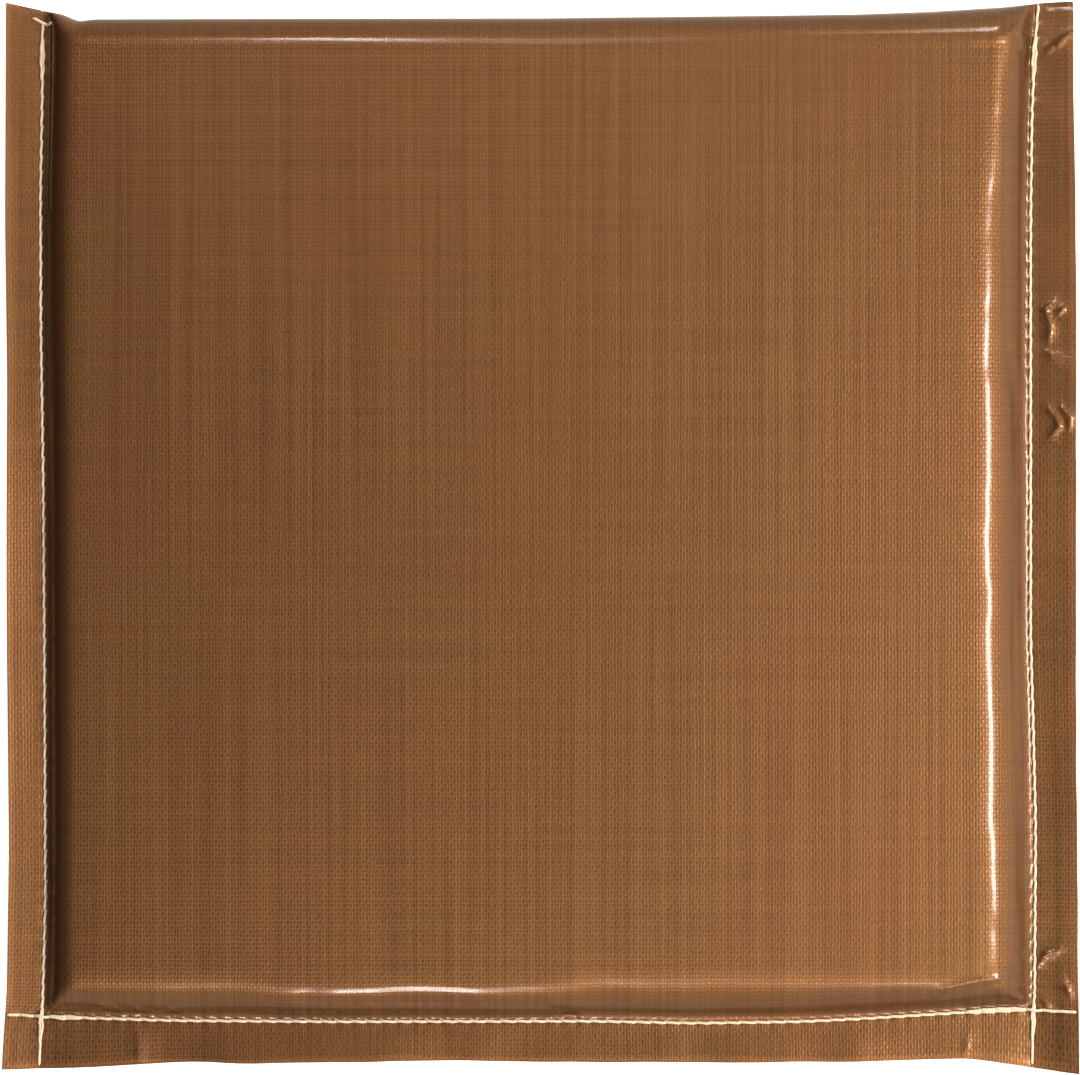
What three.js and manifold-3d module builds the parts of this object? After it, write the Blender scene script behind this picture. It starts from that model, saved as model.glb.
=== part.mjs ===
// A square heat press pillow: a slab of heat-proof foam sewn into a cover of PTFE-coated glass cloth.
//
// The cover is one sheet, folded in half over the slab. The fold is at the back (+Y), and three lockstitch
// seams close the left, right and front sides, each with a flat margin of two cloth layers outside it.
// Each seam is two threads: the needle thread on the upper face and the bobbin thread on the lower face,
// which meet in every needle hole. The pillow lies on its lower face, in millimetres, with +Z up.
//
// While it is built, z = 0 is the plane where the two layers of a margin meet, and the pillow is the same
// above and below it. Across the slab, the cloth comes down from the flat top to the margins in three
// slopes. A place on a slope goes by the share of the full rise that is left there: 1 at the top, 0 at
// the foot.

import * as THREE from "three";
import { mergeVertices } from "three/addons/utils/BufferGeometryUtils.js";
import Module from "manifold-3d";

const wasm = await Module();
wasm.setup();

// ---- Driving sizes ----

const slabWidth = 183;
const slabLength = 187.5;
const slabThickness = 10;
const slabClearance = 0.3; // between the slab and the cloth, all round
const slabEdgeShare = 0.5; // of the cloth's rise that is left at the slab's rounded rim

const clothThickness = 0.25;
const layerGap = 0.3; // between the two layers of a margin

const leftMargin = 7; // cloth outside each row of stitches
const rightMargin = 8.2;
const frontMargin = 8.2;
const seamEase = 0.9; // flat cloth between the stitches and the foot of the slope

const leftSlopeAngle = 84; // steepest tilt of the cloth down each side of the slab, in degrees
const rightSlopeAngle = 62;
const frontSlopeAngle = 72;
const footShare = 0.3; // of the rise that belongs to a slope's hollow foot; the rest is its round shoulder

const threadDiameter = 0.55;
const threadClearance = 0.1; // between a thread and what it lies on
const stitchLength = 2.9;
const stitchLegRun = 0.75; // along the seam, from the middle of a needle hole to the top of the thread
const needleHoleLength = 1.3;
const seamEndInset = 1; // from the cloth's edge to the nearest needle hole
const leftSeamStart = 3.6; // from the fold to the first stitch of the left seam
const longTack = 3; // stitches sewn twice at the start and the end of a seam
const shortTack = 2;

const rimSteps = 3; // facets from the flat top to the slab's rim
const footSteps = 3; // facets from there to the foot of the slope
const foldSteps = 5; // facets from the fold's outermost line up to the flat top
const foldRimStep = 3; // the number of those that are outside the slab's rim

// ---- Sizes that follow ----

const marginHeight = (layerGap + clothThickness) / 2; // from z = 0 to the middle of a layer
const topHeight = slabThickness / 2 + slabClearance + clothThickness / 2;
const rise = topHeight - marginHeight;
const slabInset = clothThickness / 2 + slabClearance; // from the middle of the cloth to the slab
const crestHeight = marginHeight + clothThickness / 2 + threadClearance + threadDiameter / 2;
const dipHeight = (threadClearance + threadDiameter) / 2;
const bridgeHeight = crestHeight + threadDiameter + threadClearance; // where one seam crosses another
const needleHoleWidth = threadDiameter + 2 * threadClearance;

// A slope is two tangent arcs of cloth, a shoulder and a foot, that turn to the same angle and back.
function makeSlope(degrees) {
  const angle = THREE.MathUtils.degToRad(degrees);
  const radii = rise / (1 - Math.cos(angle));
  const footRadius = footShare * radii;
  return { footRadius, shoulderRadius: radii - footRadius, reach: radii * Math.sin(angle) };
}

// A stop on a slope: how far out it is, the share of the rise that is left, and how steep the cloth is.
function slopeStop(slope, share) {
  const onShoulder = share > footShare;
  const radius = onShoulder ? slope.shoulderRadius : slope.footRadius;
  const drop = (onShoulder ? 1 - share : share) * rise;
  const turn = Math.acos(1 - drop / radius);
  const run = radius * Math.sin(turn);
  return { out: onShoulder ? run : slope.reach - run, share, lean: Math.tan(turn) };
}

const leftSlope = makeSlope(leftSlopeAngle);
const rightSlope = makeSlope(rightSlopeAngle);
const frontSlope = makeSlope(frontSlopeAngle);

// Round the fold, places go by the turn from its outermost line, up to a quarter turn at the flat top.
const quarterTurn = Math.PI / 2;
const foldTurns = Array.from({ length: foldSteps + 1 }, (_, i) => (quarterTurn * i) / foldSteps);
const foldRimReach = topHeight * Math.cos(foldTurns[foldRimStep]);

const flatLeft = -slabWidth / 2 + slopeStop(leftSlope, slabEdgeShare).out;
const flatRight = slabWidth / 2 - slopeStop(rightSlope, slabEdgeShare).out;
const flatBack = -topHeight * quarterTurn;
const flatFront = flatBack + foldRimReach - slabLength + slopeStop(frontSlope, slabEdgeShare).out;

const leftSeam = flatLeft - leftSlope.reach - seamEase;
const rightSeam = flatRight + rightSlope.reach + seamEase;
const frontSeam = flatFront - frontSlope.reach - seamEase;
const leftEdge = leftSeam - leftMargin;
const rightEdge = rightSeam + rightMargin;
const frontEdge = frontSeam - frontMargin;
const marginBack = marginHeight * (1 - quarterTurn); // the fold's outermost line in a margin

// ---- The shape of the cloth ----

const rimShares = Array.from(
  { length: rimSteps + 1 },
  (_, i) => 1 - (1 - slabEdgeShare) * (i / rimSteps) ** 2,
);
const footShares = Array.from(
  { length: footSteps },
  (_, i) => slabEdgeShare * (1 - (i + 1) / footSteps) ** 2,
);

// The columns of a grid over the slab, from left to right, as far down the side slopes as the shares go.
function columnsFor(shares) {
  const left = shares.map((share) => slopeStop(leftSlope, share)).reverse();
  const right = shares.map((share) => slopeStop(rightSlope, share));
  return [
    ...left.map(({ out, share, lean }) => ({ x: flatLeft - out, share, lean: -lean })),
    ...right.map(({ out, share, lean }) => ({ x: flatRight + out, share, lean })),
  ];
}

// Its rows, from the fold to the front.
function rowsFor(turns, shares) {
  const front = shares.map((share) => slopeStop(frontSlope, share));
  return [
    ...turns.map((turn) => ({ turn })),
    ...front.map(({ out, share, lean }) => ({ y: flatFront - out, share, lean })),
  ];
}

// The middle of the upper layer, or a place "lift" off it towards the outside. Round the fold, a strip of
// cloth goes round a half circle that is as high as the strip.
function upperCloth(column, row, lift) {
  if ("turn" in row) {
    const height = marginHeight + rise * column.share;
    const [back, up] = [Math.cos(row.turn), Math.sin(row.turn)];
    const place = new THREE.Vector3(column.x, height * (back - quarterTurn), height * up);
    const out = new THREE.Vector3(column.lean * (1 - quarterTurn * back), back, up).normalize();
    return place.addScaledVector(out, lift);
  }
  const share = Math.min(column.share, row.share);
  const place = new THREE.Vector3(column.x, row.y, marginHeight + rise * share);
  const out = new THREE.Vector3(
    column.share === share ? column.lean : 0,
    row.share === share ? -row.lean : 0,
    1,
  );
  return place.addScaledVector(out.normalize(), lift);
}

function mirrored(point) {
  return point.setZ(-point.z);
}

// ---- Geometry helpers ----

// A closed body between two grids of points, with walls round their edges. Each square of a grid is two
// triangles, split along the diagonal that bulges outwards.
function closedBody(upperAt, lowerAt, columns, rows) {
  const points = [];
  const faces = [];
  for (const pointAt of [upperAt, lowerAt]) {
    for (let r = 0; r < rows; r++) {
      for (let c = 0; c < columns; c++) points.push(pointAt(c, r));
    }
  }
  const lower = columns * rows;
  const bulge = (a, b) => Math.abs(points[a].z + points[b].z);
  for (let r = 0; r < rows - 1; r++) {
    for (let c = 0; c < columns - 1; c++) {
      const first = r * columns + c;
      const corners = [first, first + columns, first + columns + 1, first + 1];
      if (bulge(corners[1], corners[3]) > bulge(corners[0], corners[2])) corners.push(corners.shift());
      const [a, b, d, e] = corners;
      faces.push(a, b, d, a, d, e);
      faces.push(lower + a, lower + d, lower + b, lower + a, lower + e, lower + d);
    }
  }
  const wall = (a, b) => faces.push(a, lower + b, b, a, lower + a, lower + b);
  for (let c = 0; c < columns - 1; c++) {
    wall(c + 1, c);
    wall((rows - 1) * columns + c, (rows - 1) * columns + c + 1);
  }
  for (let r = 0; r < rows - 1; r++) {
    wall(r * columns, (r + 1) * columns);
    wall((r + 2) * columns - 1, (r + 1) * columns - 1);
  }
  const geometry = new THREE.BufferGeometry().setFromPoints(points);
  geometry.setIndex(faces);
  return geometry;
}

function toSolid(geometry) {
  const bare = new THREE.BufferGeometry();
  bare.setAttribute("position", geometry.getAttribute("position"));
  bare.setIndex(geometry.index);
  const merged = mergeVertices(bare, 1e-5);
  return new wasm.Manifold(
    new wasm.Mesh({
      numProp: 3,
      vertProperties: merged.attributes.position.array,
      triVerts: new Uint32Array(merged.index.array),
    }),
  );
}

function toGeometry(solid) {
  const mesh = solid.getMesh();
  const geometry = new THREE.BufferGeometry();
  geometry.setAttribute("position", new THREE.BufferAttribute(mesh.vertProperties, mesh.numProp));
  geometry.setIndex(new THREE.BufferAttribute(mesh.triVerts, 1));
  return geometry;
}

// ---- Seams ----

// A seam runs "along" a direction from its start, and its needle holes are given by their distances from
// there. "crossing" is how far along another seam crosses it, which falls in the middle of a stitch. The
// first and last few stitches are sewn twice.
function makeSeam(name, start, along, { first, last, crossing, pitch, startTack, endTack }) {
  const before = Math.floor((crossing - first) / pitch - 0.5);
  const firstHole = crossing - (before + 0.5) * pitch;
  const count = Math.floor((last - firstHole) / pitch) + 1;
  const holes = Array.from({ length: count }, (_, i) => firstHole + i * pitch);
  const isTacked = (i) => (i >= 0 && i < startTack) || (i >= count - 1 - endTack && i < count - 1);
  const aside = new THREE.Vector3(-along.y, along.x, 0);
  return { name, start, along, aside, pitch, holes, isTacked, overSeams: [] };
}

const forwards = new THREE.Vector3(0, -1, 0);
const rightwards = new THREE.Vector3(1, 0, 0);

function makeSideSeam(name, x, first) {
  return makeSeam(name, new THREE.Vector3(x, marginBack, 0), forwards, {
    first,
    last: marginBack - frontEdge - seamEndInset,
    crossing: marginBack - frontSeam,
    pitch: stitchLength,
    startTack: longTack,
    endTack: shortTack,
  });
}

// The front seam is sewn last, over both side seams, and crosses each in the middle of a stitch.
function makeFrontSeam() {
  const seam = makeSeam("front", new THREE.Vector3(0, frontSeam, 0), rightwards, {
    first: leftEdge + seamEndInset,
    last: rightEdge - seamEndInset,
    crossing: leftSeam,
    pitch: (rightSeam - leftSeam) / Math.round((rightSeam - leftSeam) / stitchLength),
    startTack: longTack,
    endTack: longTack,
  });
  seam.overSeams = [leftSeam, rightSeam];
  return seam;
}

const seams = [
  makeSideSeam("left", leftSeam, leftSeamStart),
  makeSideSeam("right", rightSeam, seamEndInset),
  makeFrontSeam(),
];

function strandsInHole(seam, i) {
  return seam.isTacked(i) || seam.isTacked(i - 1) ? 2 : 1;
}

// The cutter for one needle hole, through both layers of cloth.
function needleHole(seam, i) {
  const width = needleHoleWidth + (strandsInHole(seam, i) - 1) * threadDiameter;
  const cutter = new THREE.BoxGeometry(needleHoleLength, width, 4 * crestHeight);
  cutter.rotateZ(Math.atan2(seam.along.y, seam.along.x));
  cutter.translate(...seam.start.clone().addScaledVector(seam.along, seam.holes[i]).toArray());
  return toSolid(cutter);
}

// A thread dips into each needle hole, as far as the thread from the other side, and lies flat in between.
function threadGeometry(seam, side) {
  const path = [];
  seam.holes.forEach((hole, i) => {
    path.push({ at: hole, height: dipHeight, strands: strandsInHole(seam, i) });
    if (i === seam.holes.length - 1) return;
    const isBridge = seam.overSeams.some((at) => at > hole && at < hole + seam.pitch);
    const height = isBridge ? bridgeHeight : crestHeight;
    const strands = seam.isTacked(i) ? 2 : 1;
    path.push({ at: hole + stitchLegRun, height, strands });
    path.push({ at: hole + seam.pitch - stitchLegRun, height, strands });
  });
  const pointAt = (face) => (column, row) => {
    const { at, height, strands } = path[row];
    const across = (column - 0.5) * strands * threadDiameter;
    return seam.start
      .clone()
      .addScaledVector(seam.along, at)
      .addScaledVector(seam.aside, across)
      .setZ(side * height + (face * threadDiameter) / 2);
  };
  return closedBody(pointAt(1), pointAt(-1), 2, path.length);
}

// ---- The pieces ----

// The sheet, from the front edge of the lower layer, round the fold, to the front edge of the upper layer.
function coverGeometry() {
  const shares = [...rimShares, ...footShares];
  const columns = [
    { x: leftEdge, share: 0, lean: 0 },
    ...columnsFor(shares),
    { x: rightEdge, share: 0, lean: 0 },
  ];
  const rows = [...rowsFor(foldTurns, shares), { y: frontEdge, share: 0, lean: 0 }];
  const middle = rows.length - 1;
  const at = (lift) => (c, r) => {
    const point = upperCloth(columns[c], rows[Math.abs(r - middle)], lift);
    return r < middle ? mirrored(point) : point;
  };
  const half = clothThickness / 2;
  return closedBody(at(half), at(-half), columns.length, 2 * middle + 1);
}

function makeCover() {
  const cutters = seams.flatMap((seam) => seam.holes.map((_, i) => needleHole(seam, i)));
  return toGeometry(toSolid(coverGeometry()).subtract(wasm.Manifold.union(cutters)));
}

// The slab's faces follow the inside of the cloth as far as its rim, where an upright wall joins them.
function slabGeometry() {
  const columns = columnsFor(rimShares);
  const rows = rowsFor(foldTurns.slice(foldRimStep), rimShares);
  const upper = (c, r) => upperCloth(columns[c], rows[r], -slabInset);
  const lower = (c, r) => mirrored(upper(c, r));
  return closedBody(upper, lower, columns.length, rows.length);
}

function named(name, geometry, material) {
  const mesh = new THREE.Mesh(geometry, material);
  mesh.name = name;
  return mesh;
}

const clothMaterial = new THREE.MeshStandardMaterial({ color: 0x85593a, roughness: 0.35, metalness: 0 });
const foamMaterial = new THREE.MeshStandardMaterial({ color: 0xb9b2a4, roughness: 0.95, metalness: 0 });
const threadMaterial = new THREE.MeshStandardMaterial({ color: 0xf6dfc0, roughness: 0.7, metalness: 0 });

const pillow = new THREE.Group();
pillow.add(named("cover", makeCover(), clothMaterial));
pillow.add(named("foam_core", slabGeometry(), foamMaterial));
for (const seam of seams) {
  pillow.add(named(`${seam.name}_needle_thread`, threadGeometry(seam, 1), threadMaterial));
  pillow.add(named(`${seam.name}_bobbin_thread`, threadGeometry(seam, -1), threadMaterial));
}

// The origin is the middle of the pillow's outline, on the face that it lies on.
const outline = new THREE.Box3().setFromObject(pillow);
const middle = outline.getCenter(new THREE.Vector3());
pillow.position.set(-middle.x, -middle.y, -outline.min.z);

export default pillow;
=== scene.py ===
import math

import bmesh
import bpy
import numpy as np
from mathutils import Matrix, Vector
from mathutils.bvhtree import BVHTree


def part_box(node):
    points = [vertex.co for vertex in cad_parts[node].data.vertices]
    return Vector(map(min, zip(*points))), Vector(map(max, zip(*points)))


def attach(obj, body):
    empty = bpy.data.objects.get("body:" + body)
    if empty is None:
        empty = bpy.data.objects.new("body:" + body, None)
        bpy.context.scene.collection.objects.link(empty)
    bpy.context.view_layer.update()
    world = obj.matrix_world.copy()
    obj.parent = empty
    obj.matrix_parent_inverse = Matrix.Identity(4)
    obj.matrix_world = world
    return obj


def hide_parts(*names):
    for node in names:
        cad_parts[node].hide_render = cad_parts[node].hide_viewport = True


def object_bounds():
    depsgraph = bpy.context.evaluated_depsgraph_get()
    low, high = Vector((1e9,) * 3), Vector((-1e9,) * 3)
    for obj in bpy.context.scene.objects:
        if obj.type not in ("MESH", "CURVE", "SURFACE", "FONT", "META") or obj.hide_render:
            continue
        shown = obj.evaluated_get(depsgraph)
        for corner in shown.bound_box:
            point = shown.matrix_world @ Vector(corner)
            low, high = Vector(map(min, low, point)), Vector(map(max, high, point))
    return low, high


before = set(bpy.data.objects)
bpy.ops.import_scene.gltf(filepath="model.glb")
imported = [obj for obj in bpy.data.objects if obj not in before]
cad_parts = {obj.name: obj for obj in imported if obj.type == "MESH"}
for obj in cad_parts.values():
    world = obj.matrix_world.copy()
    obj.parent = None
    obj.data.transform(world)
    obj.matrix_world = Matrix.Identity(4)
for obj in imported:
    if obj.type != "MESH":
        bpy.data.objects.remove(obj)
cad_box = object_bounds()

# ---- Cover ----
# One sheet of brown PTFE-coated glass cloth, a quarter of a millimetre thick, cut with raw edges and folded
# in half over the foam slab, with the fold at the back. The two layers are sewn together on the other three
# sides, a few millimetres inside their cut edges. The sizes here are in millimetres.

low, high = (np.array(corner) * 1000 for corner in cad_box)
seam_plane = (low[2] + high[2]) / 2
left_seam, right_seam = (
    500 * (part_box(thread)[0][0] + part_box(thread)[1][0])
    for thread in ("left_needle_thread", "right_needle_thread")
)
front_seam = 500 * (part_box("front_needle_thread")[0][1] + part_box("front_needle_thread")[1][1])

cloth_thickness = 0.25
pinch = 0.27  # from the seam plane to the cloth's outer face, where the stitches press the layers together
rise = seam_plane - pinch
margin_parting = 0.02  # how much each layer of a margin leaves the seam plane, for each millimetre outwards
seam_ease = 0.9  # from a seam to the foot of the slope beside it
foot_share = 0.06  # how much of a slope's curve is its hollow foot
stitch_length = 2.9
side_first_hole = low[1] + 3.2  # the outermost needle holes of the side seams, near the front cut edge
left_last_hole, right_last_hole = high[1] - 4.6, high[1] - 1.6
front_stitches = round((right_seam - left_seam) / stitch_length)
front_pitch = (right_seam - left_seam) / front_stitches
sheet_back = high[1] + 0.15  # where the folded edge would be if the pad had no thickness
half_length = sheet_back - low[1]
front_seam_down = sheet_back - front_seam


def through(knots, at, ease=3.0):
    """A line through a few (place, value) knots, with its corners rounded off."""
    places, values = np.array(knots, dtype=float).T
    return np.mean([np.interp(at + ease * k / 4, places, values) for k in range(-4, 5)], axis=0)


def wander(at, spacing, seed):
    """A smooth random curve between -1 and 1 that turns about once in each spacing."""
    values = np.random.default_rng(seed).uniform(-1, 1, 2000)
    where = np.asarray(at, dtype=float) / spacing + 1000
    i = np.floor(where).astype(int)
    t = where - i
    t = t * t * (3 - 2 * t)
    return values[i] * (1 - t) + values[i + 1] * t


def undulation(x, y, spacing, seed):
    """A smooth random surface between -1 and 1."""
    values = np.random.default_rng(seed).uniform(-1, 1, (200, 200))
    a, b = x / spacing + 100, y / spacing + 100
    i, j = np.floor(a).astype(int), np.floor(b).astype(int)
    s, t = a - i, b - j
    s, t = s * s * (3 - 2 * s), t * t * (3 - 2 * t)
    i, j = i % 199, j % 199
    return (
        values[i, j] * (1 - s) * (1 - t)
        + values[i + 1, j] * s * (1 - t)
        + values[i, j + 1] * (1 - s) * t
        + values[i + 1, j + 1] * s * t
    )


def slope_share(inward, reach):
    """The share of the rise at a distance inward from a slope's foot: a hollow foot and a round shoulder."""
    angle = 2 * np.arctan2(rise, reach)
    radii = rise / (1 - np.cos(angle))
    foot, shoulder = foot_share * radii, (1 - foot_share) * radii
    inward = np.clip(inward, 0, reach)
    foot_run = np.minimum(inward, foot * np.sin(angle))
    on_foot = foot - np.sqrt(foot**2 - foot_run**2)
    on_shoulder = rise - shoulder + np.sqrt(np.maximum(shoulder**2 - (reach - inward) ** 2, 0))
    return np.where(inward < foot * np.sin(angle), on_foot, on_shoulder) / rise


def soft_least(a, b, width):
    """The smaller of two values, rounded off where they are within a width of each other."""
    near = np.clip(0.5 + (b - a) / (2 * width), 0, 1)
    return b * (1 - near) + a * near - width * near * (1 - near)


def side_share(x, y):
    """The share of the rise that the two side slopes leave."""
    left_ease = through([(-96, 1.1), (60, 1.1), (85, 1.4), (103, 1.4)], y)
    left_reach = 0.2 * wander(y, 17, 3) + through([(-96, 6.8), (-84, 5.9), (40, 5.8), (70, 5.5), (103, 5.5)], y)
    right_reach = (
        11.2
        + 0.3 * wander(y, 3.6, 5)
        + 0.5 * wander(y, 11, 6)
        + through([(-85, -0.9), (-30, -0.5), (0, 0.5), (45, 0.8), (80, 0)], y)
        + through([(-94, 1.5), (-80, 0), (62, 0), (85, -2.5), (98, -4.2), (103, -3)], y)
    )
    left = slope_share(x - left_seam - left_ease, left_reach)
    right = slope_share(right_seam - seam_ease - x, right_reach)
    dent_line = right_seam - 3.6 + through([(-90, 0.6), (-20, 0.3), (28, 0.2), (36, -1.2), (100, -1.0)], y)
    dent = 0.07 * np.exp(-(((x - dent_line + 0.4 * wander(y, 19, 14)) / 1.0) ** 2))
    dent = dent * through([(-90, 0), (-70, 1), (70, 1), (92, 0)], y) * (0.7 + 0.5 * wander(y, 22, 15))
    return soft_least(left, right, 0.02) - dent


def front_share(x, y):
    """The share that the front slope leaves."""
    reach = through(
        [(-92, 9.6), (-60, 9.6), (-48, 8.2), (2, 8.2), (10, 10.6),
         (60, 10.6), (74, 10.4), (82, 11.6), (88, 12.6), (93, 10.5)],
        x,
    )
    reach = reach + 0.4 * wander(x, 12, 21) + 0.15 * wander(x, 4, 22)
    return slope_share(y - front_seam - seam_ease, reach)


def pucker(along, holes_from, pitch, aside, seed):
    """How the stitches draw the cloth up: sunk at the needle holes, and ridged between them."""
    step = (along - holes_from) / pitch
    strength = 0.7 + 0.5 * wander(step, 1.7, seed)
    ridges = -0.035 * np.cos(2 * np.pi * step) * np.exp(-((aside / 1.7) ** 2)) * strength
    long_ridges = 0.09 * wander(step, 2.3, seed + 1) * np.exp(-((aside / 3.5) ** 2))
    long_ridges = long_ridges * (1 - np.exp(-((aside / 1.2) ** 2)))
    off_hole = (step - np.round(step)) * pitch
    sunk = -0.055 * np.exp(-(off_hole**2 + aside**2) / 0.32)
    groove = -0.05 * np.exp(-((aside / 0.55) ** 2))
    return ridges + long_ridges + sunk + groove


def all_puckers(x, y, upper):
    """What the stitches of all three seams do to one layer. The side seams' puckers die out at their ends."""
    seed = 40 if upper else 60
    sides = np.zeros_like(x)
    for k, (seam, seam_end) in enumerate(((left_seam, sheet_back - 4), (right_seam, sheet_back))):
        drawn = pucker(y, front_seam + stitch_length / 2, stitch_length, x - seam, seed + 3 * k)
        sides = sides + drawn * (1 / (1 + np.exp((y - seam_end) / 0.6)))
    front = pucker(x, left_seam + front_pitch / 2, front_pitch, y - front_seam, seed + 9)
    return sides + front


creases = [  # ridges and furrows in the upper layer: height, width, and the places that they run through
    (0.30, 0.55, [(74.5, -87.6), (78, -86.6), (81.4, -85.7), (84.3, -85.1),
                  (87.4, -84.9), (89.2, -86.2), (91.1, -87.5), (93, -89.1)]),
    (-0.20, 0.8, [(75.5, -89.0), (81.4, -87.2), (86.5, -86.4)]),
    (0.42, 0.65, [(96.4, 92.4), (98.6, 93.8), (100.4, 95.2), (102.2, 96.4)]),
    (0.50, 0.7, [(98.8, 44.4), (96.8, 43.2), (97.6, 40.4), (97.5, 37.2)]),
    (0.45, 0.6, [(100.4, 43.6), (99.2, 42.4)]),
    (0.45, 0.6, [(96.9, 35.0), (98.2, 34.2), (100.2, 34.0)]),
    (0.50, 0.7, [(97.6, 24.0), (98.8, 22.6), (99.4, 20.6), (98.0, 19.0)]),
    (0.50, 0.6, [(99.8, 24.2), (101.4, 22.4), (101.2, 20.2)]),
    (0.45, 0.6, [(95.7, -82.6), (97.0, -80.6), (99.6, -79.8)]),
    (0.50, 0.6, [(100.2, -85.6), (101.6, -88.6)]),
    (0.35, 0.5, [(96.4, -89.8), (97.6, -90.8)]),
    (-0.30, 0.75, [(-46, -89.2), (-20, -89.6), (0, -90.2), (4.5, -91.0), (6.4, -92.8)]),
    (0.22, 0.5, [(-85, -90.2), (-82.5, -90.6), (-80.2, -92.0)]),
    (0.20, 0.5, [(-78.4, -90.6), (-76.8, -91.4)]),
    (0.20, 0.5, [(-71.8, -90.7), (-70, -91.6)]),
    (0.22, 0.6, [(84.5, 97.4), (87.0, 97.2), (88.0, 96.0)]),
    (0.30, 0.6, [(-92.4, 99.4), (-90.6, 98.6), (-89.2, 97.6)]),
    (-0.22, 0.7, [(88.5, 98.2), (91.0, 95.0), (92.6, 90.5)]),
    (0.16, 0.6, [(90.2, 98.0), (92.4, 94.6), (93.2, 91.5)]),
    (0.16, 0.7, [(77.4, -96.5), (76.9, -99.5), (76.4, -101.5)]),
    (0.14, 0.8, [(82.0, -95.5), (81.6, -98.5), (81.2, -100.5)]),
    (0.25, 1.2, [(-78, -95.5), (-77.4, -98), (-77, -101)]),
    (0.14, 0.5, [(-91.9, 92), (-92.2, 60), (-91.8, 30), (-92.0, 0)]),
]


def off_line(x, y, line):
    """How far places are from a line of points, and how far along it they are, from 0 to 1."""
    line = np.array(line, dtype=float)
    steps = np.hypot(*np.diff(line, axis=0).T)
    starts = np.concatenate([[0], np.cumsum(steps)])
    best, along = np.full(np.shape(x), 1e9), np.zeros(np.shape(x))
    for (ax, ay), (bx, by), step, start in zip(line[:-1], line[1:], steps, starts):
        t = np.clip(((x - ax) * (bx - ax) + (y - ay) * (by - ay)) / step**2, 0, 1)
        far = np.hypot(x - ax - t * (bx - ax), y - ay - t * (by - ay))
        along = np.where(far < best, (start + t * step) / starts[-1], along)
        best = np.minimum(best, far)
    return best, along


def crease_lift(x, y):
    """How far all the creases lift the upper layer. Each one fades towards its ends, and is a little rough."""
    lift = np.zeros(np.shape(x))
    for height, width, line in creases:
        far, along = off_line(x, y, line)
        fade = np.sqrt(np.sin(np.pi * np.clip(0.06 + 0.88 * along, 0, 1)))
        lift = lift + height * np.exp(-((far / width) ** 2)) * fade
    return lift * (1 + 0.35 * undulation(x, y, 0.7, 93))


def margin_curl(x, y):
    """How far both layers of a margin bend up together, out beyond the seams."""
    out_left = np.maximum(left_seam - x, 0) / (left_seam - low[0])
    out_right = np.maximum(x - right_seam, 0) / (high[0] - right_seam)
    out_front = np.maximum(front_seam - y, 0) / (front_seam - low[1])
    left_bend = 1.15 + 0.35 * wander(y, 38, 71) + through([(-102, -0.4), (-84, 0), (102, 0)], y)
    left = out_left**1.25 * left_bend
    right_bend = 1.2 + 0.4 * wander(y, 24, 73) + 0.2 * wander(y, 7, 74)
    right = out_right**1.25 * (right_bend + through([(-102, 0.8), (-88, 0), (102, 0)], y))
    front = out_front**1.3 * (0.6 + 0.55 * wander(x, 15, 77) + 0.28 * wander(x, 6, 78))
    return left + right + front


def plan_shift(x, y):
    """How the hand-guided seams and cut edges stray from straight lines."""
    seam_left = through(
        [(-102, -1.0), (-92, -0.4), (-70, 0.2), (-20, 0), (10, -0.2),
         (40, -0.7), (66, -0.75), (85, -0.4), (102, -0.3)],
        y,
    )
    seam_right = through(
        [(-102, -0.3), (-91, 0.3), (-55, 0.5), (-35, 0), (-20, -0.45),
         (60, -0.45), (80, -0.2), (93, 0.3), (102, 1.1)],
        y,
    )
    seam_front = through(
        [(-102, 1.9), (-94, 1.3), (-70, 0.6), (-40, 0.4), (10, 0.5), (30, 0.1),
         (50, 0.4), (62, 1.0), (80, 2.1), (90, 2.8), (102, 2.4)],
        x,
    )
    edge_left = through([(-102, -1.0), (-90, -0.1), (-60, 0.4), (-20, 0), (30, 0), (60, -0.4), (102, -0.2)], y)
    edge_right = through([(-102, 0.4), (-80, 0.3), (-40, 0), (50, 0), (85, -0.5), (102, -0.6)], y)
    edge_right = edge_right + 0.1 * wander(y, 9, 81)
    edge_front = through(
        [(-102, -0.5), (-90, -0.2), (-78, 0.4), (-68, 1.0), (-58, 0.6), (-20, 1.2),
         (10, 0.8), (60, 1.0), (82, 1.6), (92, 0.2), (102, -1.3)],
        x,
    ) + 0.08 * wander(x, 7, 83)
    across = [low[0], left_seam, left_seam + 7, right_seam - 10, right_seam, high[0]]
    shifts = [edge_left, seam_left, 0 * y, 0 * y, seam_right, edge_right]
    dx = blend_across(x, across, shifts)
    dy = blend_across(y, [low[1], front_seam, front_seam + 9, high[1]], [edge_front, seam_front, 0 * x, 0 * x])
    return dx, dy


def blend_across(at, places, values):
    """Between shifts given at a few places, each of which varies along its own line."""
    found = values[0] + 0 * at
    for a, b, va, vb in zip(places[:-1], places[1:], values[:-1], values[1:]):
        t = np.clip((at - a) / (b - a), 0, 1)
        t = t * t * (3 - 2 * t)
        found = np.where(at > a, va * (1 - t) + vb * t, found)
    return found


def back_outline(x):
    """Where the folded back edge lies: highest at the corner ears, with a notch beside the left one."""
    return through(
        [(-103, 102.2), (-94.5, 100.5), (-91.6, 99.9), (-88.9, 98.5), (-86.2, 99.0), (-60, 99.1), (0, 99.2),
         (10, 99.35), (40, 99.7), (61, 100.0), (75, 100.5), (88, 101.3), (95.5, 102.2), (103, 102.4)],
        x,
        ease=0.9,
    )


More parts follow.
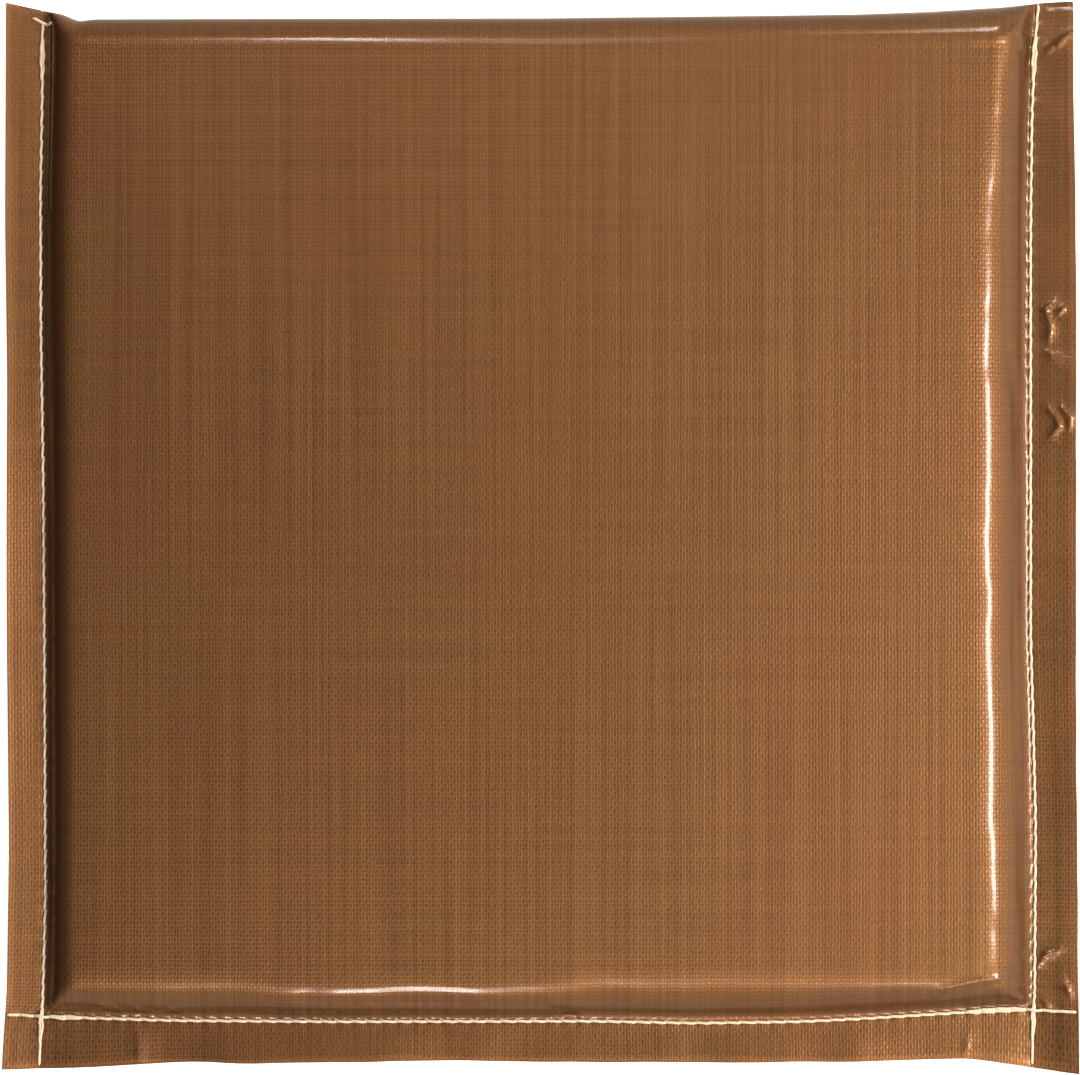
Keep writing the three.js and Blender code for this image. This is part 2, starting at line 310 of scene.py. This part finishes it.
def half_height(x, y):
    """From the seam plane to the cloth's outer face, before the fold: first with the side slopes alone, then
    with the front slope too, and then the second one's share of the rise."""
    outward = np.maximum.reduce([left_seam - x, x - right_seam, front_seam - y, 0 * x])
    sides = np.clip(side_share(x, np.minimum(y, sheet_back - 6)), 0, 1)
    share = np.clip(soft_least(np.clip(side_share(x, y), 0, 1), front_share(x, y), 0.14), 0, 1)
    margin = pinch + margin_parting * outward
    return margin + rise * sides, margin + rise * share, share


def cloth_place(x, down):
    """A place on the cloth's outer face. down runs from the fold to the front edge, and is negative on the
    lower layer."""
    side = np.where(down < 0, -1.0, 1.0)
    down = np.abs(down)
    y = sheet_back - down
    strip, flat_part, share = half_height(x, y)
    turn = np.minimum(down / strip, np.pi / 2)
    on_fold = down < strip * np.pi / 2
    height = np.where(on_fold, strip * np.sin(turn), flat_part)
    back_move = back_outline(x) - (sheet_back - (np.pi / 2 - 1) * strip)
    y = np.where(on_fold, sheet_back + strip * (np.cos(turn) - np.pi / 2), y)
    y = y + back_move * np.clip(1 - down / 14, 0, 1) ** 1.5
    loose = 0.10 * undulation(x, y, 42, 90) + 0.035 * undulation(x, y, 13, 91)
    crown = loose * np.clip(share * 1.2 - 0.2, 0, 1) * (side > 0) * ~on_fold
    puckers = np.where(side > 0, all_puckers(x, y, True), all_puckers(x, y, False))
    puckers = puckers * np.clip(1 - share * 2.5, 0, 1)
    dx, dy = plan_shift(x, y)
    creased = crease_lift(x + dx, y + dy) * (side > 0) * ~on_fold
    z = seam_plane + margin_curl(x, y) + side * (height + crown + puckers) + creased
    return np.stack([x + dx, y + dy, z], axis=-1)


# The sheet starts flat, as squares a stitch long, and is divided finely along the seams and on the slopes.
columns = np.concatenate(
    [
        np.linspace(low[0], left_seam, 4)[:-1],
        np.linspace(left_seam, right_seam, front_stitches + 1),
        np.linspace(right_seam, high[0], 4)[1:],
    ]
)
rows_down = np.concatenate(
    [
        np.arange(front_seam_down, 0.8, -stitch_length)[::-1],
        np.linspace(front_seam_down, half_length, 4)[1:],
    ]
)
rows = np.concatenate([-rows_down[::-1], [0.0], rows_down])
sheet = bmesh.new()
grid = [[sheet.verts.new((x, down, 0)) for x in columns] for down in rows]
for near, far in zip(grid[:-1], grid[1:]):
    for i in range(len(columns) - 1):
        sheet.faces.new((near[i], near[i + 1], far[i + 1], far[i]))


def fineness(x, down):
    """How many times the squares are halved at each place: most along the seams and creases, then on the
    upper layer's slopes and the corner ears."""
    y = sheet_back - np.abs(down)
    to_seam = np.minimum.reduce([np.abs(x - left_seam), np.abs(x - right_seam), np.abs(y - front_seam)])
    on_slope = (x < left_seam + 7) | (x > right_seam - 12) | (y < front_seam + 10)
    near_ear = (y > sheet_back - 14) & ((x < left_seam + 9) | (x > right_seam - 12))
    in_pad = (x > left_seam) & (x < right_seam) & (y > front_seam)
    level = np.where((on_slope & in_pad) | (np.abs(down) < 10), 1, 0)
    level[(to_seam < np.where(down > 0, 1.8, 0.8)) | ((down > 0) & in_pad & (on_slope | near_ear))] = 2
    dx, dy = plan_shift(x, y)
    for _, _, line in creases[:-1]:  # the last one is long and faint
        level[(off_line(x + dx, y + dy, line)[0] < 1.0) & (down > 0)] = 3
    level[to_seam < 1.0] = 3
    return level


for level in (1, 2, 3):
    middles = np.array([face.calc_center_median() for face in sheet.faces])
    fine = fineness(middles[:, 0], middles[:, 1]) >= level
    edges = set()
    for face, chosen in zip(sheet.faces, fine):
        if chosen:
            edges.update(face.edges)
    bmesh.ops.subdivide_edges(sheet, edges=list(edges), cuts=1, use_grid_fill=True)

# A needle hole is cut wherever the thread goes through.
hole_reach = 0.37  # a face whose middle is nearer than this to a needle hole, each way, is cut away
hole_origin = front_seam + stitch_length / 2
cut = []
for face in sheet.faces:
    middle = face.calc_center_median()
    x, y = middle.x, sheet_back - abs(middle.y)
    down_step = (y - hole_origin) / stitch_length
    across_step = (x - left_seam) / front_pitch - 0.5
    on_side = min(abs(x - left_seam), abs(x - right_seam)) < hole_reach
    at_side_hole = abs(down_step - round(down_step)) * stitch_length < hole_reach
    side_sewn = side_first_hole < y < (left_last_hole if x < 0 else right_last_hole)
    on_front = abs(y - front_seam) < hole_reach
    at_front_hole = abs(across_step - round(across_step)) * front_pitch < hole_reach
    front_sewn = abs(x) < high[0] - 3.5
    if (on_side and at_side_hole and side_sewn) or (on_front and at_front_hole and front_sewn):
        cut.append(face)
bmesh.ops.delete(sheet, geom=cut, context="FACES")

# Faces with a point part-way along a side are split here, while flat, so that none of their triangles is empty.
split = [
    face
    for face in sheet.faces
    if len(face.verts) > 4 or any(abs(loop.calc_angle() - math.pi) < 0.02 for loop in face.loops)
]
bmesh.ops.triangulate(sheet, faces=split, quad_method="BEAUTY", ngon_method="BEAUTY")

cloth_map = sheet.loops.layers.uv.new("Cloth")
for face in sheet.faces:
    face.smooth = True
    for loop in face.loops:
        loop[cloth_map].uv = (loop.vert.co.x / 1000, loop.vert.co.y / 1000)
flat = np.array([vert.co for vert in sheet.verts])
for vert, place in zip(sheet.verts, cloth_place(flat[:, 0], flat[:, 1]) / 1000):
    vert.co = place
bmesh.ops.reverse_faces(sheet, faces=sheet.faces)
cover_mesh = bpy.data.meshes.new("cover_sheet")
sheet.to_mesh(cover_mesh)
sheet.free()
cover = bpy.data.objects.new("cover_sheet", cover_mesh)
bpy.context.collection.objects.link(cover)
bpy.ops.object.select_all(action="DESELECT")
cover.select_set(True)
bpy.context.view_layer.objects.active = cover
for _ in ("face", "cut edge"):
    cover_mesh.materials.append(None)
thick = cover.modifiers.new("cloth thickness", "SOLIDIFY")
thick.thickness = cloth_thickness / 1000
thick.offset = -1
thick.material_offset_rim = 1
bpy.ops.object.modifier_apply(modifier=thick.name)
bpy.ops.object.shade_smooth_by_angle(angle=math.radians(55))


def node(tree, kind, wires=None, **settings):
    """Adds a node, with its settings, and wires or values for its inputs."""
    made = tree.nodes.new(kind)
    for key, value in settings.items():
        setattr(made, key, value)
    for key, value in (wires or {}).items():
        if isinstance(value, bpy.types.NodeSocket):
            tree.links.new(value, made.inputs[key])
        else:
            made.inputs[key].default_value = value
    return made


def maths(tree, operation, a, b=0.0):
    """The result of a sum on one or two wires or values."""
    return node(tree, "ShaderNodeMath", {0: a, 1: b}, operation=operation).outputs[0]


def blend_colour(tree, share, a, b):
    """From one colour to another, by a share."""
    return node(tree, "ShaderNodeMix", {0: share, 6: a, 7: b}, data_type="RGBA").outputs[2]


def new_material(name):
    """A material without any nodes, and its node tree."""
    material = bpy.data.materials.new(name)
    material.use_nodes = True
    material.node_tree.nodes.clear()
    return material, material.node_tree


def woven_group():
    """A plain weave: rows of yarns a pitch apart each way, over and under each other, and uneven streaks
    along them. Takes a place on the cloth in metres."""
    group = bpy.data.node_groups.new("Plain weave", "ShaderNodeTree")
    sockets = group.interface
    sockets.new_socket("Place", in_out="INPUT", socket_type="NodeSocketVector")
    for name, value in (("Warp pitch", 0.0006), ("Weft pitch", 0.00082), ("Straying", 0.0005)):
        sockets.new_socket(name, in_out="INPUT", socket_type="NodeSocketFloat").default_value = value
    for name in ("Height", "Gaps", "Warp streaks", "Weft streaks", "Patches"):
        sockets.new_socket(name, in_out="OUTPUT", socket_type="NodeSocketFloat")
    enter = node(group, "NodeGroupInput")
    leave = node(group, "NodeGroupOutput")
    place = enter.outputs["Place"]

    def stretched_noise(across, along, detail):
        scaled = node(group, "ShaderNodeMapping", {"Vector": place, "Scale": (across, along, 1)})
        wires = {"Vector": scaled.outputs[0], "Scale": 1.0, "Detail": detail, "Roughness": 0.6}
        return node(group, "ShaderNodeTexNoise", wires).outputs["Fac"]

    stray = maths(group, "SUBTRACT", stretched_noise(420, 160, 2), 0.5)
    stray = maths(group, "MULTIPLY", stray, enter.outputs["Straying"])
    part = node(group, "ShaderNodeSeparateXYZ", {0: place})
    warp = maths(group, "DIVIDE", maths(group, "ADD", part.outputs[0], stray), enter.outputs["Warp pitch"])
    weft = maths(group, "DIVIDE", maths(group, "ADD", part.outputs[1], stray), enter.outputs["Weft pitch"])
    warp_wave = maths(group, "SINE", maths(group, "MULTIPLY", warp, math.pi))
    weft_wave = maths(group, "SINE", maths(group, "MULTIPLY", weft, math.pi))
    warp_round = maths(group, "POWER", maths(group, "ABSOLUTE", warp_wave), 0.5)
    weft_round = maths(group, "POWER", maths(group, "ABSOLUTE", weft_wave), 0.5)
    over = maths(group, "MULTIPLY_ADD", maths(group, "MULTIPLY", warp_wave, weft_wave), 0.22)
    over.node.inputs[2].default_value = 0.78
    height = maths(group, "MULTIPLY", maths(group, "MULTIPLY", warp_round, weft_round), over)
    group.links.new(height, leave.inputs["Height"])
    # The gaps are the hollows between the yarns, plus a fine random speckle. The cloth is darkened there as painted
    # shade.
    warp_gap = maths(group, "MULTIPLY", maths(group, "SUBTRACT", 1.0, warp_round), stretched_noise(1600, 60, 2))
    weft_gap = maths(group, "MULTIPLY", maths(group, "SUBTRACT", 1.0, weft_round), stretched_noise(60, 1200, 2))
    gaps = maths(group, "ADD", maths(group, "MULTIPLY", warp_gap, 0.18), maths(group, "MULTIPLY", weft_gap, 0.30))
    fine = stretched_noise(2600, 2200, 3)
    gaps = maths(group, "ADD", gaps, maths(group, "MULTIPLY", maths(group, "SUBTRACT", fine, 0.5), 0.55))
    group.links.new(gaps, leave.inputs["Gaps"])
    group.links.new(stretched_noise(1300, 9, 2), leave.inputs["Warp streaks"])
    group.links.new(stretched_noise(14, 620, 3), leave.inputs["Weft streaks"])
    group.links.new(stretched_noise(26, 18, 2), leave.inputs["Patches"])
    return group


weave = woven_group()
coated_cloth, tree = new_material("Coated glass cloth")
place = node(tree, "ShaderNodeUVMap", uv_map="Cloth")
woven = node(tree, "ShaderNodeGroup", node_tree=weave)
tree.links.new(place.outputs[0], woven.inputs["Place"])


def spread(tree, value, low_value, high_value, low_result=0.0, high_result=1.0):
    """A value stretched from one range to another, and held within it."""
    wires = {"Value": value, "From Min": low_value, "From Max": high_value}
    wires.update({"To Min": low_result, "To Max": high_result})
    return node(tree, "ShaderNodeMapRange", wires).outputs[0]


streaks = spread(tree, woven.outputs["Warp streaks"], 0.3, 0.7)
colour = blend_colour(tree, streaks, (0.106, 0.0415, 0.0128, 1), (0.165, 0.077, 0.0245, 1))
weft_tone = spread(tree, woven.outputs["Weft streaks"], 0.3, 0.7)
colour = blend_colour(tree, maths(tree, "MULTIPLY", weft_tone, 0.25), colour, (0.225, 0.102, 0.032, 1))
patches = spread(tree, woven.outputs["Patches"], 0.35, 0.65)
colour = blend_colour(tree, maths(tree, "MULTIPLY", patches, 0.3), colour, (0.16, 0.056, 0.020, 1))
# Darker in the gaps between the yarns: painted shade in the hollows of the weave, with a fine random speckle of
# tone in it.
colour = blend_colour(tree, woven.outputs["Gaps"], colour, (0.035, 0.013, 0.005, 1))
across = node(tree, "ShaderNodeSeparateXYZ", {0: place.outputs[0]})
to_side = maths(tree, "SUBTRACT", high[0] / 1000, maths(tree, "ABSOLUTE", across.outputs[0]))
to_front = maths(tree, "SUBTRACT", half_length / 1000, maths(tree, "ABSOLUTE", across.outputs[1]))
unevenness = maths(tree, "MULTIPLY", woven.outputs["Patches"], 0.0024)
to_edge = maths(tree, "ADD", maths(tree, "MINIMUM", to_side, to_front), unevenness)
frayed = spread(tree, to_edge, 0.0026, 0.0019, 0.0, 0.45)
colour = blend_colour(tree, frayed, colour, (0.26, 0.11, 0.036, 1))
rough = spread(tree, woven.outputs["Height"], 0.35, 0.95, 0.50, 0.34)
coat = spread(tree, woven.outputs["Gaps"], 0.05, 0.45, 0.48, 0.1)
bump = node(tree, "ShaderNodeBump", {"Strength": 0.65, "Distance": 0.00006, "Height": woven.outputs["Height"]})
surface = node(
    tree,
    "ShaderNodeBsdfPrincipled",
    {"Base Color": colour, "Roughness": rough, "Normal": bump.outputs[0], "Metallic": 0.72, "IOR": 1.38,
     "Coat Weight": coat, "Coat Roughness": 0.14, "Coat IOR": 1.42},
)
node(tree, "ShaderNodeOutputMaterial", {"Surface": surface.outputs[0]})
raw_edge, tree = new_material("Raw cut edge")
place = node(tree, "ShaderNodeTexCoord")
frays = node(tree, "ShaderNodeTexNoise", {"Vector": place.outputs["Object"], "Scale": 2500.0, "Detail": 2.0})
colour = blend_colour(tree, frays.outputs["Fac"], (0.08, 0.035, 0.018, 1), (0.26, 0.14, 0.075, 1))
surface = node(tree, "ShaderNodeBsdfPrincipled", {"Base Color": colour, "Roughness": 0.8})
node(tree, "ShaderNodeOutputMaterial", {"Surface": surface.outputs[0]})
cover_mesh.materials[0] = coated_cloth
cover_mesh.materials[1] = raw_edge
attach(cover, "root")
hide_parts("cover")

# ---- Foam core ----
# A slab of heat-proof open-cell foam, cut with square corners. The cover presses its edges round, and
# nothing but the cover holds it.

foam_low, foam_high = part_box("foam_core")
bpy.ops.object.select_all(action="DESELECT")
bpy.ops.mesh.primitive_cube_add(size=1, location=[(a + b) / 2 for a, b in zip(foam_low, foam_high)])
foam = bpy.context.object
foam.name = "foam_slab"
foam.scale = [b - a for a, b in zip(foam_low, foam_high)]
bpy.ops.object.transform_apply(location=True, rotation=False, scale=True)
bpy.ops.object.mode_set(mode="EDIT")
bpy.ops.mesh.select_all(action="SELECT")
foam_cuts = 63  # makes squares of about 3 mm
bpy.ops.mesh.subdivide(number_cuts=foam_cuts)
bpy.ops.object.mode_set(mode="OBJECT")
places = np.empty(3 * len(foam.data.vertices))
foam.data.vertices.foreach_get("co", places)
places = places.reshape(-1, 3) * 1000
strip, flat_part, share = half_height(places[:, 0], places[:, 1])
past_fold = np.clip(places[:, 1] - (sheet_back - strip * np.pi / 2), 0, None)
room = np.sqrt(np.clip(np.minimum(strip, flat_part) ** 2 - past_fold**2, 0.5, None)) - cloth_thickness - 0.25
pores = 0.06 * undulation(places[:, 0], places[:, 1], 1.7, 95)
slab_half = seam_plane - cloth_thickness - 0.3
places[:, 2] = seam_plane + (places[:, 2] - seam_plane) * np.clip(room + pores, 0.3, None) / slab_half
back_move = back_outline(places[:, 0]) - (sheet_back - (np.pi / 2 - 1) * strip) - 0.15
dx, dy = plan_shift(places[:, 0], places[:, 1])
places[:, 0] += dx
places[:, 1] += dy + back_move * np.clip((places[:, 1] - 86) / 10, 0, 1)
foam.data.vertices.foreach_set("co", (places / 1000).ravel())

# The cloth holds the foam in: each place on it stops short of the first cloth met on the way out from the
# slab's middle plane.
slack = 0.00035  # in metres
cloth = BVHTree.FromPolygons(
    [vert.co.copy() for vert in cover_mesh.vertices], [tuple(face.vertices) for face in cover_mesh.polygons]
)
core_low = [left_seam + 11, front_seam + 14, seam_plane]
core_high = [right_seam - 15, high[1] - 14, seam_plane]
for vert in foam.data.vertices:
    core = Vector([min(max(1000 * c, a), b) / 1000 for c, a, b in zip(vert.co, core_low, core_high)])
    outward = vert.co - core
    if outward.length < slack:
        continue
    met = cloth.ray_cast(core, outward.normalized(), outward.length + 2 * slack)[3]
    if met is not None:
        vert.co = core + outward.normalized() * min(outward.length, max(met - slack, slack))
bpy.ops.object.shade_smooth_by_angle(angle=math.radians(50))
foam_material, tree = new_material("Open-cell foam")
object_place = node(tree, "ShaderNodeTexCoord")
cells = node(tree, "ShaderNodeTexVoronoi", {"Vector": object_place.outputs["Object"], "Scale": 1300.0})
# The cells are darker in their middles, where the bump sinks them into pits: painted shade in the pores.
tint = blend_colour(tree, cells.outputs["Distance"], (0.30, 0.27, 0.22, 1), (0.55, 0.51, 0.43, 1))
foam_bump = node(tree, "ShaderNodeBump", {"Strength": 0.6, "Distance": 0.0003, "Height": cells.outputs["Distance"]})
foam_surface = node(
    tree, "ShaderNodeBsdfPrincipled", {"Base Color": tint, "Roughness": 0.95, "Normal": foam_bump.outputs[0]}
)
node(tree, "ShaderNodeOutputMaterial", {"Surface": foam_surface.outputs[0]})
foam.data.materials.append(foam_material)
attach(foam, "root")
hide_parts("foam_core")

# ---- Seam threads ----
# Each seam is a lockstitch of two heat-proof threads of three twisted plies. The needle thread lies on the
# upper face and the bobbin thread on the lower face, and they catch each other in the needle holes. Both
# run three times over a few holes near each end of a seam, and are cut off soon after the last one.

thread_radius = 0.29
on_cloth = thread_radius * 0.85  # how high the middle of a thread lies off the cloth
ply_turn = 1.9  # the length in which the plies make a full turn
slant = 0.09  # how far a stitch leans across the seam, each way
points_round = 12  # the points in each ring of a thread's mesh
ring_gap = 0.17

thread_material, tree = new_material("Twisted thread")
along = node(tree, "ShaderNodeUVMap", uv_map="Thread")
fibre_place = node(tree, "ShaderNodeMapping", {"Vector": along.outputs[0], "Scale": (40, 1500, 1)})
fibres = node(tree, "ShaderNodeTexNoise", {"Vector": fibre_place.outputs[0], "Scale": 1.0, "Detail": 2.0})
thread_tone = blend_colour(tree, fibres.outputs["Fac"], (0.88, 0.69, 0.47, 1), (1.0, 0.87, 0.66, 1))
fibre_bump = node(tree, "ShaderNodeBump", {"Strength": 0.4, "Distance": 0.00004, "Height": fibres.outputs["Fac"]})
thread_surface = node(
    tree,
    "ShaderNodeBsdfPrincipled",
    {"Base Color": thread_tone, "Roughness": 0.6, "Normal": fibre_bump.outputs[0], "Sheen Weight": 0.3},
)
node(tree, "ShaderNodeOutputMaterial", {"Surface": thread_surface.outputs[0]})


def stitched_line(visits, side, tails):
    """The thread's middle line through a list of (hole, sideways, height) visits, as places along the holes,
    places across the seam and heights off the cloth. A stitch rises out of one hole, lies slanting on the
    cloth and dips into the next, and slants the same way whichever way it is sewn."""
    places = [(visits[0][0] - tails[0] * q, 0.0, on_cloth) for q in (1.0, 0.75, 0.5, 0.25)]
    for (a, off_a, up_a), (b, off_b, up_b) in zip(visits[:-1], visits[1:]):
        for q in np.arange(16) / 16:
            part = q if b > a else 1 - q
            lean = np.interp(part, [0, 0.18, 0.82, 1], [0, -1, 1, 0])
            rest = min(q, 1 - q)
            lift = on_cloth - 0.2 * math.exp(-((rest / 0.07) ** 2)) + up_a * (1 - q) + up_b * q
            places.append((a + (b - a) * q, off_a * (1 - q) + off_b * q - side * slant * lean, lift))
    return places + [(visits[-1][0] + tails[1] * q, 0.0, on_cloth) for q in (0.25, 0.5, 0.75, 1.0)]


def thread_tube(middle):
    """The rings of a three-ply thread along a middle line of points in millimetres, and where they lie."""
    middle = np.array(middle)
    steps = np.linalg.norm(np.diff(middle, axis=0), axis=1)
    length = np.concatenate([[0], np.cumsum(steps)])
    count = int(length[-1] / ring_gap)
    at = np.linspace(0, length[-1], count)
    path = np.stack([np.interp(at, length, middle[:, k]) for k in range(3)], axis=-1)
    for _ in range(2):
        path[1:-1] = (path[:-2] + 2 * path[1:-1] + path[2:]) / 4
    ahead = np.gradient(path, axis=0)
    ahead /= np.linalg.norm(ahead, axis=1)[:, None]
    aside = np.cross(ahead, [0, 0, 1.0])
    aside /= np.maximum(np.linalg.norm(aside, axis=1), 1e-6)[:, None]
    above = np.cross(aside, ahead)
    turn = np.linspace(0, 2 * np.pi, points_round, endpoint=False)
    twist = 2 * np.pi * at / ply_turn
    lobes = thread_radius * (0.86 + 0.14 * np.abs(np.cos(1.5 * (turn[None, :] - twist[:, None]))) ** 0.6)
    ends = np.minimum(1, np.minimum(np.arange(count), np.arange(count)[::-1]) * 0.35 + 0.25)
    ring = lobes * ends[:, None]
    places = (
        path[:, None, :]
        + (ring * np.cos(turn))[:, :, None] * aside[:, None, :]
        + (ring * np.sin(turn))[:, :, None] * above[:, None, :]
    ).reshape(-1, 3) / 1000
    return places, at


def tube_faces(start, count):
    """The faces between a number of rings, and the two ends, counting the points from a start."""
    faces = []
    for ring in range(start, start + (count - 1) * points_round, points_round):
        for c in range(points_round):
            d = (c + 1) % points_round
            faces.append([ring + c, ring + d, ring + points_round + d, ring + points_round + c])
    last_ring = start + (count - 1) * points_round
    faces.append(list(range(start, start + points_round))[::-1])
    faces.append(list(range(last_ring, last_ring + points_round)))
    return faces


def thread_piece(name, node_name, middles):
    """One piece of thread, which may have a separate loose end."""
    girth = 0.0017  # round the thread, in metres
    places, faces, values = [], [], []
    for middle in middles:
        tube, at = thread_tube(middle)
        faces += tube_faces(len(places), len(at))
        places += tube.tolist()
        values += [(a / 1000, c / points_round * girth) for a in at for c in range(points_round)]
    mesh = bpy.data.meshes.new(name)
    mesh.from_pydata(places, [], faces)
    uv = mesh.uv_layers.new(name="Thread")
    corner = np.array([loop.vertex_index for loop in mesh.loops])
    uv.data.foreach_set("uv", np.array(values)[corner].ravel())
    shaped = bmesh.new()
    shaped.from_mesh(mesh)
    bmesh.ops.recalc_face_normals(shaped, faces=shaped.faces)
    for face in shaped.faces:
        face.smooth = True
    shaped.to_mesh(mesh)
    shaped.free()
    piece = bpy.data.objects.new(name, mesh)
    bpy.context.collection.objects.link(piece)
    mesh.materials.append(thread_material)
    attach(piece, "root")
    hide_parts(node_name)
    return piece


def seam_visits(first, last, tacks):
    """The order in which a seam's holes are sewn, in one pass but for the tacks. Each tack is a stretch of
    holes that is sewn forwards, backwards and forwards again, with the passes side by side."""
    visits = []
    hole = first
    for near, far in tacks:
        visits += [(k, 0.0, 0.0) for k in range(hole, near)]
        visits += [(k, 0.0, 0.0) for k in range(near, far)]
        visits += [(far, 0.1, 0.1)] + [(k, 0.24, 0.06) for k in range(far - 1, near, -1)]
        visits += [(near, 0.0, 0.15)] + [(k, -0.24, 0.12) for k in range(near + 1, far)]
        hole = far
    return visits + [(k, 0.0, 0.0) for k in range(hole, last + 1)]


def sew(name, along_y, seam, origin, pitch, visits, tails, crossings=(), loose_ends=()):
    """The needle and bobbin thread of one seam. It passes over other seams at the crossings."""
    threads = []
    for part, side in (("needle", 1), ("bobbin", -1)):
        holes, aside, lift = np.array(stitched_line(visits, side, tails)).T
        run = origin + holes * pitch
        if along_y:
            aside = -aside
        x, y = (seam + aside, run) if along_y else (run, seam + aside)
        for crossing in crossings:
            lift = lift + 0.66 * np.exp(-(((run - crossing) / 1.1) ** 2))
        middle = cloth_place(x, side * (sheet_back - y))
        middle[:, 2] += side * lift
        middles = [middle]
        for end in loose_ends if part == "needle" else ():
            end_x, end_y, end_lift = np.array(end).T
            loose = cloth_place(end_x, sheet_back - end_y)
            loose[:, 2] += end_lift
            middles.append(loose)
        threads.append(thread_piece(f"{name}_{part}_seam_thread", f"{name}_{part}_thread", middles))
    return threads


side_first = -2
left_last = math.floor((left_last_hole - hole_origin) / stitch_length) + 1
right_last = math.floor((right_last_hole - hole_origin) / stitch_length) + 1
left_tail_y = hole_origin + left_last * stitch_length + 0.5
left_visits = seam_visits(side_first, left_last, [(side_first, 0), (left_last - 4, left_last - 1)])
right_visits = seam_visits(side_first, right_last, [(side_first, 0), (right_last - 5, right_last - 2)])
front_visits = seam_visits(-2, front_stitches + 1, [(0, 2), (front_stitches - 5, front_stitches - 1)])
loose_end = [
    (left_seam + a, left_tail_y + b, 0.55 - 0.1 * abs(a))
    for a, b in ((-1.9, 0.75), (-1.1, 0.55), (0.0, 0.0), (1.0, -0.35), (1.9, -0.3))
]
threads = sew(
    "left", True, left_seam, hole_origin, stitch_length, left_visits, tails=(1.15, 0.2), loose_ends=[loose_end]
)
threads += sew("right", True, right_seam, hole_origin, stitch_length, right_visits, tails=(1.15, 0.15))
threads += sew(
    "front", False, front_seam, left_seam + front_pitch / 2, front_pitch, front_visits, tails=(0.85, 1.2),
    crossings=(left_seam, right_seam),
)

# ---- Table, camera and lights ----
# The pad lies on a plain white table, seen from straight above. One soft light on its right shades it. The
# others, at the back and the front, only add the highlights on its slopes.

bpy.ops.object.select_all(action="DESELECT")
bpy.ops.mesh.primitive_plane_add(size=4, location=(0, 0, -0.0002))
table = bpy.context.object
table.name = "table"
white = bpy.data.materials.new("White table")
white.use_nodes = True
table_surface = white.node_tree.nodes["Principled BSDF"]
table_surface.inputs["Base Color"].default_value = (0.9, 0.9, 0.9, 1)
table_surface.inputs["Roughness"].default_value = 0.8
table_surface.inputs["Emission Color"].default_value = (1, 1, 1, 1)
table_surface.inputs["Emission Strength"].default_value = 1.0
table.data.materials.append(white)
table.visible_glossy = False
table.visible_diffuse = False

camera_height = 0.8
view_width = 0.2077  # what the camera takes in across, at the height of the seams
lens = bpy.data.cameras.new("camera")
lens.sensor_width = 36
lens.lens = lens.sensor_width * (camera_height - seam_plane / 1000) / view_width
camera = bpy.data.objects.new("camera", lens)
camera.location = (-0.0003, -0.0006, camera_height)
bpy.context.collection.objects.link(camera)
bpy.context.scene.camera = camera


def softbox(name, place, size, brightness, aim=(0, 0, 0.01)):
    """A rectangular soft light. brightness is its surface brightness, so size alone doesn't change it."""
    light = bpy.data.lights.new(name, "AREA")
    light.shape = "RECTANGLE"
    light.size, light.size_y = size
    light.color = (1, 0.95, 0.90)
    light.energy = brightness * math.pi * size[0] * size[1]
    lamp = bpy.data.objects.new(name, light)
    lamp.location = place
    lamp.rotation_euler = (Vector(aim) - Vector(place)).to_track_quat("-Z", "Y").to_euler()
    bpy.context.collection.objects.link(lamp)
    return lamp


softbox("right light", (0.42, -0.024, 0.6), (0.21, 0.09), 88, aim=(0.05, -0.01, 0))
for name, place, size, brightness in (
    ("back left light", (-0.070, 0.32, 0.6), (0.024, 0.14), 90),
    ("back left glow", (0.010, 0.32, 0.6), (0.09, 0.14), 4),
    ("back right light", (0.160, 0.55, 0.45), (0.022, 0.12), 100),
    ("back right glow", (0.140, 0.55, 0.45), (0.08, 0.12), 4),
    ("front light", (-0.050, -0.42, 0.6), (0.024, 0.17), 95),
    ("front glow", (-0.040, -0.42, 0.6), (0.085, 0.17), 12),
    ("front right light", (0.25, -0.46, 0.6), (0.20, 0.07), 60),
):
    softbox(name, place, size, brightness).visible_diffuse = False

# The room is dim, and glows low down on the right.
world = bpy.data.worlds.new("studio")
world.use_nodes = True
tree = world.node_tree
direction = node(tree, "ShaderNodeSeparateXYZ", {0: node(tree, "ShaderNodeTexCoord").outputs["Generated"]})
to_right = maths(tree, "ADD", direction.outputs[0], maths(tree, "MULTIPLY", direction.outputs[1], -0.15))
rightness = spread(tree, to_right, -0.9, 1.0)
lowness = node(
    tree,
    "ShaderNodeMapRange",
    {"Value": direction.outputs[2], "From Min": 0.8, "From Max": 0.3},
    interpolation_type="SMOOTHSTEP",
)
glow = maths(tree, "MULTIPLY", maths(tree, "POWER", rightness, 0.7), lowness.outputs[0])
strength = maths(tree, "ADD", maths(tree, "MULTIPLY", glow, 2.0), 0.05)
tree.links.new(strength, tree.nodes["Background"].inputs["Strength"])
tree.nodes["Background"].inputs["Color"].default_value = (1, 0.88, 0.72, 1)
bpy.context.scene.world = world
bpy.context.scene.view_settings.view_transform = "Standard"
